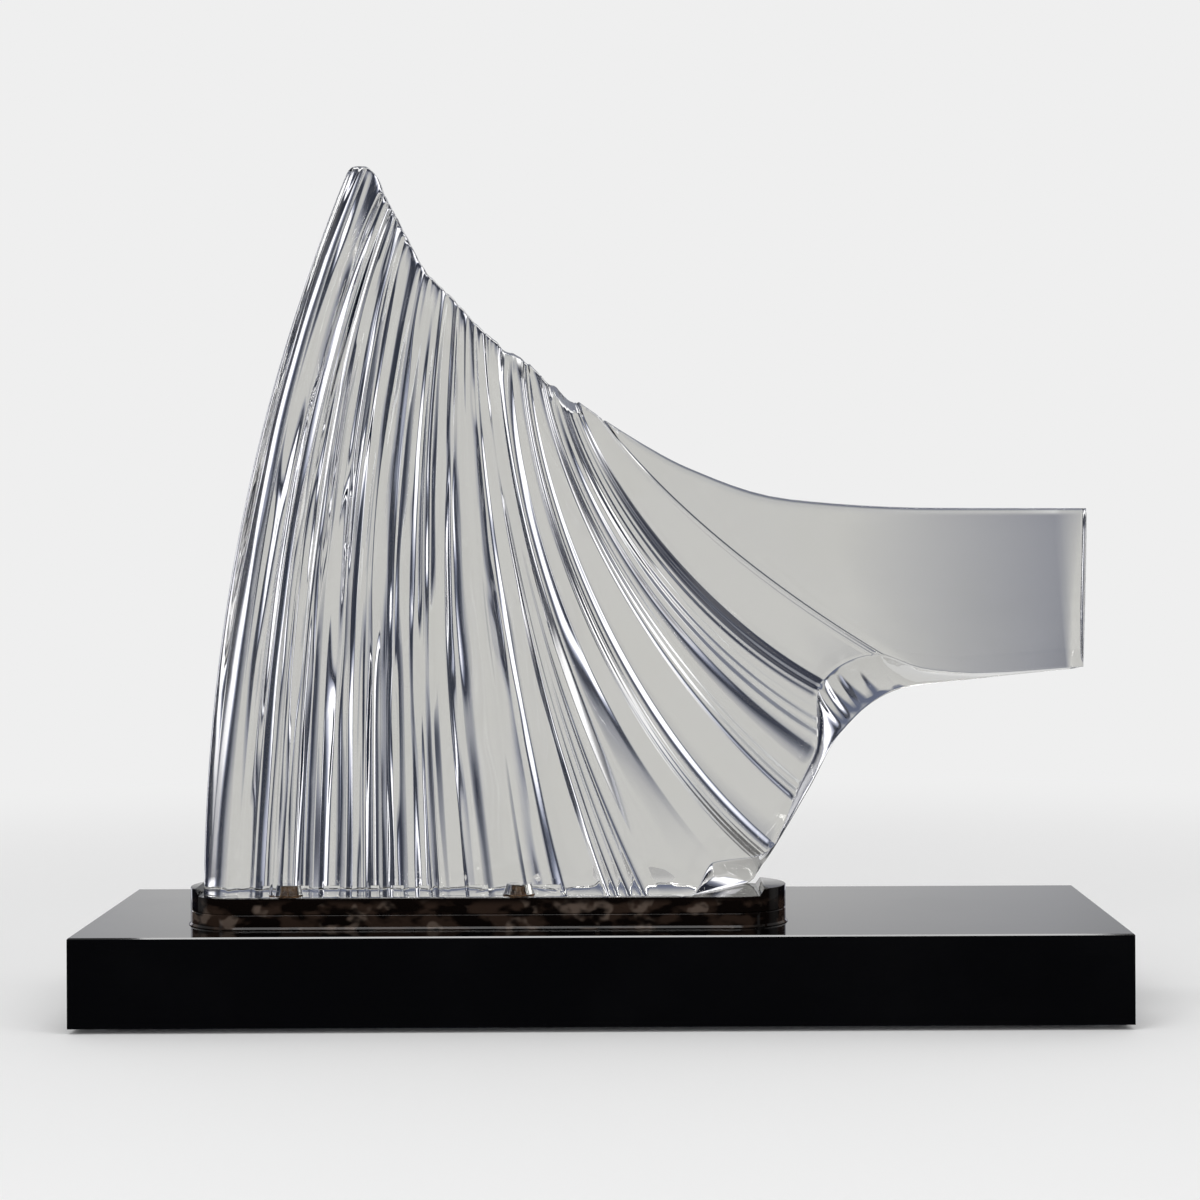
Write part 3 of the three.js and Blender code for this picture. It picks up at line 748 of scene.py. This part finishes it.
plate = {
    "left": -0.244, "middle": -0.0435, "base": 0.05512, "length": 0.353045, "depth": 0.062, "thick": 0.022,
    "bead": 0.0011, "beadFlat": 0.3, "seam": 0.0005, "seamHeight": 0.0086,
    "highEdge": 0.0006, "edgeSteps": 4, "endSteps": 48, "sharpFrom": 30, "wornSlope": (0.2, 0.95),
    "seatFrom": 0.0076, "seatTo": 0.336445, "seatDepth": 0.004, "seatSlope": 0.0026,
    "holeRadii": (0.0034, 0.0034), "holeSides": 32, "holes": (0.060, 0.195), "holeForward": 0.017,
}


def plateOutline(inset):
    half = plate["depth"] / 2
    points = []
    for centre, start in ((plate["length"] - half, -90), (half, 90)):
        for k in range(plate["endSteps"] + 1):
            angle = math.radians(start + 180 * k / plate["endSteps"])
            points.append((centre + (half - inset) * math.cos(angle), (half - inset) * math.sin(angle)))
    return points


def plateSeat():
    low = plate["thick"] - plate["seatDepth"]
    high = plate["thick"] + plate["seatDepth"]
    slope = 2 * plate["seatSlope"]
    corners = ((plate["seatFrom"], low), (plate["seatTo"], low),
               (plate["seatTo"] + slope, high), (plate["seatFrom"] - slope, high))
    return extruded("plateSeat", [(x, -plate["depth"], z) for x, z in corners], (0, 2 * plate["depth"], 0))


def plateHoles():
    places = [(x, -plate["holeForward"], plate["thick"] / 2) for x in plate["holes"]]
    return uprightCones("plateHoles", places, plate["holeRadii"], 2 * plate["thick"], plate["holeSides"])


def carvedTree():
    tree, part = geometryTree("carvedBar", {"Bar": "Object", "Seat": "Object", "Holes": "Object"})
    return endTree(tree, part, cutFrom(cutFrom(part["Bar"], part["Seat"]), part["Holes"]))


def makePlate():
    bead, seam, split = plate["bead"], plate["seam"], plate["seamHeight"]
    flat = bead * plate["beadFlat"]
    levels = [(-bead, 0.0), (-bead, flat), (0.0, bead + flat)]                    # a bead round the bottom
    levels += [(0.0, split - seam), (seam, split), (0.0, split + seam)]           # and a fine seam above it
    levels += roundedTop(plate["thick"], plate["highEdge"], plate["edgeSteps"])
    piece = growMesh("smokedPlate", carvedTree(), {
        "Bar": loftSlab("plateBar", plateOutline, levels), "Seat": plateSeat(), "Holes": plateHoles(),
        "Material": finishes["smokedAcrylic"]})
    piece.data.materials.append(finishes["wornEdge"])
    least, most = plate["wornSlope"]
    # faces below the seam that face upward take the painted highlight
    for face in piece.data.polygons:
        if face.center.z < split and least < face.normal.z < most:
            face.material_index = 1
    piece.data.transform(Matrix.Translation((plate["left"], plate["middle"], plate["base"])))
    sharpen(piece, plate["sharpFrom"])
    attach(piece, "root")
    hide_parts("mounting_plate")
    print("plate made:", len(piece.data.polygons), "faces")


makePlate()


# the top sheet of the plinth, with its upper edges bevelled and polished

topSheet = {
    "length": 0.610, "depth": 0.203, "thick": 0.006, "base": 0.049, "edge": 0.0008, "edgeSteps": 1,
    "edgeSlope": (0.05, 0.95), "sharpFrom": 30,
}


def topOutline(inset):
    x, y = topSheet["length"] / 2 - inset, topSheet["depth"] / 2 - inset
    return [(-x, -y), (x, -y), (x, y), (-x, y)]


def makeTopSheet():
    levels = [(0.0, 0.0)] + roundedTop(topSheet["thick"], topSheet["edge"], topSheet["edgeSteps"])
    piece = loftSlab("topSheet", topOutline, levels)
    piece.data.transform(Matrix.Translation((0.0, 0.0, topSheet["base"])))
    for finish in ("blackAcrylic", "polishedEdge"):
        piece.data.materials.append(finishes[finish])
    least, most = topSheet["edgeSlope"]
    for face in piece.data.polygons:
        face.material_index = 1 if least < face.normal.z < most else 0
    sharpen(piece, topSheet["sharpFrom"])
    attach(piece, "root")
    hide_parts("plinth_top")
    print("top sheet made:", len(piece.data.polygons), "faces")


makeTopSheet()


# small fittings that repeat: one turned and cut shape of each kind, set at the places of its nodes

fittings = {
    # a profile is radius, height and depth of the knurl in mm, from the axis below to the axis above
    "knurledInserts": {
        "prefix": "insert_", "lift": 0.0003, "finish": "brass", "slot": "brass", "sides": 48,
        "profile": [
            (0, 0, 0), (8.6, 0, 0), (9.0, 0.3, 0), (8.9, 1.0, 0), (8.4, 1.15, 0.4), (8.0, 2.9, 0.4),
            (7.5, 3.05, 0), (7.4, 3.5, 0), (7.7, 3.65, 0.4), (7.2, 5.6, 0.4), (6.9, 5.75, 0), (6.4, 6.3, 0),
            (0, 6.3, 0)],
        "bore": 3.15, "cutDepth": 8.0,
    },
    "rubberFeet": {
        "prefix": "foot_", "lift": 0.00002, "finish": "rubber", "slot": "rubber", "sides": 64,
        "profile": [
            (0, 0.5, 0), (6.4, 0.4, 0), (7.0, 0.06, 0), (7.3, 0, 0), (7.7, 0.02, 0), (8.2, 0.3, 0),
            (8.6, 1.0, 0), (8.95, 2.3, 0), (9.0, 2.7, 0), (8.85, 2.97, 0), (0, 2.97, 0)],
        "bore": 2.2, "cutDepth": 1.4,
    },
    "baseScrews": {
        "prefix": "base_screw_", "lift": 0.00002, "finish": "steel", "slot": "steel", "sides": 32,
        "profile": [(0, 0, 0), (3.75, 0, 0), (3.95, 0.12, 0), (3.95, 0.3, 0), (2.0, 2.2, 0)]
        + [(1.5 + 0.45 * (k % 2), 3.0 + 0.5 * k, 0) for k in range(30)] + [(1.3, 18.4, 0), (0, 19.9, 0)],
        "cross": (0.45, 2.2), "cutDepth": 1.2,                # half the width and half the length of a slot
    },
}
fittingSharpFrom = 25
boreSides = 40
cutBelow = 1.0                                                # mm by which a cut starts under the shape


def turnedShape(name, look):
    build = bmesh.new()
    count = look["sides"]
    rings = []
    for radius, height, tooth in look["profile"]:
        ring = []
        for k in range(count if radius else 1):
            reach = (radius - tooth * (k % 2)) / 1000
            angle = 2 * math.pi * k / count
            ring.append(build.verts.new((reach * math.cos(angle), reach * math.sin(angle), height / 1000)))
        rings.append(ring)
    skinRings(build, rings)
    bmesh.ops.recalc_face_normals(build, faces=build.faces)
    return fromBmesh(name + "Shape", build)


def cutterShape(name, look):
    if "bore" in look:
        turns = [2 * math.pi * k / boreSides for k in range(boreSides)]
        outline = [(look["bore"] * math.cos(a), look["bore"] * math.sin(a)) for a in turns]
    else:
        slim, long = look["cross"]
        outline = [(slim, slim), (slim, long), (-slim, long)]
        for quarter in range(3):
            outline += [(-y, x) for x, y in outline[-3:]]
    return extruded(name + "Cutter", [(x / 1000, y / 1000, -cutBelow / 1000) for x, y in outline],
                    (0, 0, (cutBelow + look["cutDepth"]) / 1000))


def setFittingsTree():
    tree, part = geometryTree("setFittings", {"Places": "Object", "Shape": "Object", "Cutter": "Object"})
    points = addNode(tree, "GeometryNodeMeshToPoints", {"Mesh": part["Places"]})
    placed = addNode(tree, "GeometryNodeInstanceOnPoints", {
        "Points": output(points, "Points"), "Instance": cutFrom(part["Shape"], part["Cutter"])})
    return endTree(tree, part, output(placed, "Instances"))


def makeFittings():
    tree = setFittingsTree()
    for name, look in fittings.items():
        stands = sorted(n for n in nodes if n.startswith(look["prefix"]))
        places = []
        for label in stands:
            corners = [nodes[label].matrix_world @ v.co for v in nodes[label].data.vertices]
            spans = [(min(c[k] for c in corners), max(c[k] for c in corners)) for k in range(3)]
            places.append((sum(spans[0]) / 2, sum(spans[1]) / 2, spans[2][0] + look["lift"]))
        spots = bpy.data.meshes.new(name + "Places")
        spots.from_pydata(places, [], [])
        piece = growMesh(name, tree, {
            "Places": addObject(name + "Places", spots), "Shape": turnedShape(name, look),
            "Cutter": cutterShape(name, look), "Material": finishes[look["finish"]]})
        sharpen(piece, fittingSharpFrom)
        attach(piece, "root")
        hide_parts(*stands)
        print(name, "made:", len(places), "places,", len(piece.data.polygons), "faces")


makeFittings()


# finishes on the pieces that stay as they were drawn

prefixFinishes = {
    "base_board": "blackBoard", "plinth_front": "blackAcrylic", "plinth_back": "blackAcrylic",
    "plinth_left": "blackAcrylic", "plinth_right": "blackAcrylic",
    "bolt_": "steel", "washer_": "steel", "corner_block_": "timber",
}
drawn = 0
for name, node in nodes.items():
    finish = next((f for prefix, f in prefixFinishes.items() if name.startswith(prefix)), None)
    if finish:
        node.data.materials.clear()
        node.data.materials.append(finishes[finish])
        drawn += 1
print("finishes set on", drawn, "nodes")


# the studio: a pale floor that fades into a pale backdrop, soft lamps and a darker room with light panels

paleLight = 0.863
paleTone = (paleLight, paleLight, paleLight)
studio = {
    "floorColour": (0.9, 0.9, 0.9), "floorDim": 0.985, "floorSize": 6.0, "fade": (0.45, 1.5),
    "centre": -2.5, "upper": (0.2, 0.23, 0.34), "shade": (0.04, 0.045, 0.07), "diffuse": (0.7, 0.7, 0.7),
    "below": (1.9, 1.9, 1.97), "straightBelow": (0.78, 0.79, 0.81), "deepBelow": (0.27, 0.29, 0.37),
    "throughTop": (2.4, 2.4, 2.45), "sideRoom": (0.03, 0.035, 0.055),
    "frontGloss": (0.04, 0.042, 0.05),                    # what polished faces see on the camera's side
    "frontStrips": ((-42.0, 4.5), (54.0, 2.6)),           # bearing and light of the strips that ribs mirror
    "stripTint": 1.03, "highShare": 0.95, "lowShare": 0.9, "leftShare": 0.95, "backdropShare": 0.6,
    # where parts of the room fade in or out: in degrees, and the last two in shares of the way back
    "spans": {
        "sideStart": (44.0, 48.0), "sideEnd": (132.0, 136.0), "besidePanel": (9.0, 13.0),
        "upperAside": (12.0, 17.0), "upperRise": (7.0, 14.0),
        "highTurn": (11.0, 16.0), "highRise": (7.0, 12.0), "lowTurn": (12.0, 16.0), "lowRise": (-11.0, -8.0),
        "leftTurn": (-16.0, -11.0), "leftFrom": (-17.5, -14.5), "leftTo": (-11.5, -9.0),
        "ceiling": (18.0, 24.0), "below": (-18.0, -14.0),
        "belowAside": (11.5, 15.0), "deepBelow": (-25.0, -19.0),
        "backdropAside": (18.0, 24.0), "backdropRise": (16.0, 22.0),
        "strip": (2.0, 5.0), "stripFrom": (4.0, 10.0), "stripTo": (45.0, 55.0),
        "behind": (0.0, 0.2), "front": (-0.35, 0.05),
    },
    # upright panels of the room, by angle to the right of each pale one
    "panels": [
        (-45.0, (0.015, 0.018, 0.03)), (-36.5, (0.03, 0.035, 0.055)), (-34.5, (0.38, 0.41, 0.54)),
        (-32.5, (2.1, 2.1, 2.24)), (-26.0, (2.1, 2.1, 2.24)), (-24.0, (0.9, 0.93, 1.13)),
        (-22.2, (0.4, 0.435, 0.58)), (-21.0, (0.13, 0.143, 0.19)), (-19.8, (0.05, 0.057, 0.085)),
        (-15.8, (0.05, 0.057, 0.085)), (-14.4, (0.12, 0.13, 0.175)), (-12.2, (0.45, 0.47, 0.56)),
        (-8.0, paleTone), (6.5, paleTone), (12.1, (0.44, 0.455, 0.52)),
        (14.5, (0.15, 0.165, 0.215)), (15.8, (0.06, 0.067, 0.1)), (17.4, (0.06, 0.067, 0.1)),
        (18.9, (0.33, 0.365, 0.5)), (20.0, (1.05, 1.09, 1.32)), (21.2, (2.1, 2.1, 2.24)),
        (26.5, (2.1, 2.1, 2.24)), (28.0, (0.66, 0.69, 0.86)), (29.5, (0.2, 0.215, 0.28)),
        (31.5, (0.03, 0.034, 0.058)), (45.0, (0.015, 0.018, 0.03)),
    ],
}


def rayKinds(tree):
    return {kind.name: Value(kind) for kind in addNode(tree, "ShaderNodeLightPath").outputs}


def mixShaders(share, first, second):
    return output(addNode(share.tree, "ShaderNodeMixShader", {0: share, 1: first, 2: second}))


def makeFloor():
    build = bmesh.new()
    bmesh.ops.create_grid(build, x_segments=24, y_segments=24, size=studio["floorSize"])
    floor = fromBmesh("floor", build)
    material = bpy.data.materials.new("paleFloor")
    material.use_nodes = True
    tree = material.node_tree
    shader = tree.nodes["Principled BSDF"]
    place = output(addNode(tree, "ShaderNodeTexCoord"), "Object")
    dim = [c * studio["floorDim"] for c in studio["floorColour"]]
    feed(shader.inputs["Base Color"], blendColour(noise(place, 3.0, 3.0), dim, studio["floorColour"]))
    feed(shader.inputs["Roughness"], 0.9)
    feed(shader.inputs["Specular IOR Level"], 0.0)
    away = output(addNode(tree, "ShaderNodeVectorMath", {"Vector": place}, operation="LENGTH"), "Value")
    glow = output(addNode(tree, "ShaderNodeEmission", {"Strength": paleLight}))
    faded = mixShaders(ramp(away, *studio["fade"]), output(shader), glow)
    ray = rayKinds(tree)                                 # glass and gloss look past the floor to the backdrop
    seen = maths("MAXIMUM", ray["Is Diffuse Ray"], ray["Is Camera Ray"])
    shown = mixShaders(seen, output(addNode(tree, "ShaderNodeBsdfTransparent")), faded)
    feed(tree.nodes["Material Output"].inputs["Surface"], shown)
    floor.data.materials.append(material)


def makeWorld():
    world = bpy.data.worlds.new("studio")
    scene.world = world
    world.use_nodes = True
    tree = world.node_tree
    tree.nodes.clear()
    heading = output(addNode(tree, "ShaderNodeTexCoord"), "Generated")
    split = addNode(tree, "ShaderNodeSeparateXYZ", {"Vector": heading})
    right, back, up = (output(split, axis) for axis in "XYZ")
    degrees = 180 / math.pi
    bearing = maths("ARCTAN2", right, back) * degrees
    facing = maths("ARCTAN2", right, back * -1.0) * degrees
    rise = maths("ARCSINE", up) * degrees
    turn = maths("MODULO", bearing + (405.0 - studio["centre"]), 90.0) - 45.0      # panels each quarter turn
    aside, wide = abs(turn), abs(bearing)
    panels = addNode(tree, "ShaderNodeValToRGB", {"Fac": (turn + 45.0) / 90.0})
    stops = panels.color_ramp.elements
    while len(stops) < len(studio["panels"]):
        stops.new(1.0)
    for stop, (angle, colour) in zip(stops, studio["panels"]):
        stop.position = (angle + 45) / 90
        stop.color = (*colour, 1)

    def rising(value, span, most=1.0):
        return ramp(value, *studio["spans"][span], 0.0, most)

    def falling(value, span, most=1.0):
        return ramp(value, *studio["spans"][span], most, 0.0)

    ray = rayKinds(tree)
    glossy = ray["Is Glossy Ray"] * (1.0 - ray["Is Transmission Ray"])      # mirrored light, not seen through
    sideways = rising(wide, "sideStart") * falling(wide, "sideEnd") * rising(aside, "besidePanel")
    above = falling(aside, "upperAside") * rising(rise, "upperRise")
    highBoard = rising(turn, "highTurn", studio["highShare"]) * rising(rise, "highRise")
    lowBoard = rising(turn, "lowTurn", studio["lowShare"]) * falling(rise, "lowRise")
    leftBoard = falling(turn, "leftTurn", studio["leftShare"]) * rising(rise, "leftFrom")
    leftBoard = leftBoard * falling(rise, "leftTo")
    boards = maths("MAXIMUM", highBoard, maths("MAXIMUM", lowBoard, leftBoard))
    floorTone = blendColour(rising(aside, "belowAside"), studio["straightBelow"], studio["below"])
    floorTone = blendColour(falling(rise, "deepBelow"), floorTone, studio["deepBelow"])
    mirrored = glossy * rising(back, "behind")
    beyond = falling(rise, "backdropRise", studio["backdropShare"]) * falling(aside, "backdropAside")
    through = maths("MINIMUM", ray["Transmission Depth"], 1.0)
    layers = [
        (sideways, studio["sideRoom"]),                      # no bright panels there
        (above, studio["upper"]),
        (boards, studio["shade"]),                           # dark boards: high right, low on both sides
        (rising(rise, "ceiling"), paleTone),
        (falling(rise, "below"), floorTone),
        (beyond * mirrored, paleTone),                       # polished tops see the pale backdrop
        (through * mirrored, studio["throughTop"]),          # and more so when seen through the resin
        (glossy * falling(back, "front"), studio["frontGloss"]),
    ]
    for angle, light in studio["frontStrips"]:
        strip = falling(abs(facing - angle), "strip") * rising(rise, "stripFrom") * falling(rise, "stripTo")
        layers.append((strip * glossy, (light, light, light * studio["stripTint"])))
    layers += [(ray["Is Diffuse Ray"], studio["diffuse"]), (ray["Is Camera Ray"], paleTone)]
    tone = output(panels, "Color")
    for share, colour in layers:
        tone = blendColour(share, tone, colour)
    shade = addNode(tree, "ShaderNodeBackground", {"Color": tone, "Strength": 1.0})
    feed(addNode(tree, "ShaderNodeOutputWorld").inputs["Surface"], output(shade))


lamps = {
    "key": {"place": (-1.3, -1.5, 1.9), "aim": (0.0, 0.0, 0.2), "size": (0.9, 1.2), "watts": 5.0},
    "fill": {"place": (1.6, -1.1, 1.3), "aim": (0.0, 0.0, 0.2), "size": (0.6, 1.4), "watts": 3.0},
    "overhead": {"place": (0.0, -0.44, 2.2), "aim": (0.0, -0.44, 0.0), "size": (1.4, 0.16), "watts": 7.0},
    "leftStrip": {"place": (-1.15, -2.0, 0.75), "aim": (0.0, 0.0, 0.3), "size": (0.1, 0.9), "watts": 4.0},
    "rightStrip": {"place": (1.25, -1.9, 0.6), "aim": (0.0, 0.0, 0.3), "size": (0.08, 0.8), "watts": 3.0},
}
mirroredLamp = "overhead"                                    # the only lamp that polished faces show


def makeLamps():
    for name, lamp in lamps.items():
        data = bpy.data.lights.new(name, "AREA")
        data.shape = "RECTANGLE"
        data.size, data.size_y = lamp["size"]
        data.energy = lamp["watts"]
        made = addObject(name, data)
        made.location = lamp["place"]
        made.visible_camera = False
        made.visible_glossy = name == mirroredLamp
        aim = Vector(lamp["aim"]) - made.location
        made.rotation_euler = aim.to_track_quat("-Z", "Y").to_euler()


camera = {
    "place": (0.021, -1.5025, 0.2758), "lens": 73.65, "sensor": 36.0, "roll": 0.25,
    "shift": (-0.03, -0.0425), "clip": (0.05, 50.0),
}


def makeCamera():
    data = bpy.data.cameras.new("camera")
    data.lens = camera["lens"]
    data.sensor_width = camera["sensor"]
    data.shift_x, data.shift_y = camera["shift"]
    data.clip_start, data.clip_end = camera["clip"]
    made = addObject("camera", data)
    made.location = camera["place"]
    made.rotation_euler = (math.radians(90), math.radians(camera["roll"]), 0.0)
    scene.camera = made


makeFloor()
makeWorld()
makeLamps()
makeCamera()
print("studio ready")
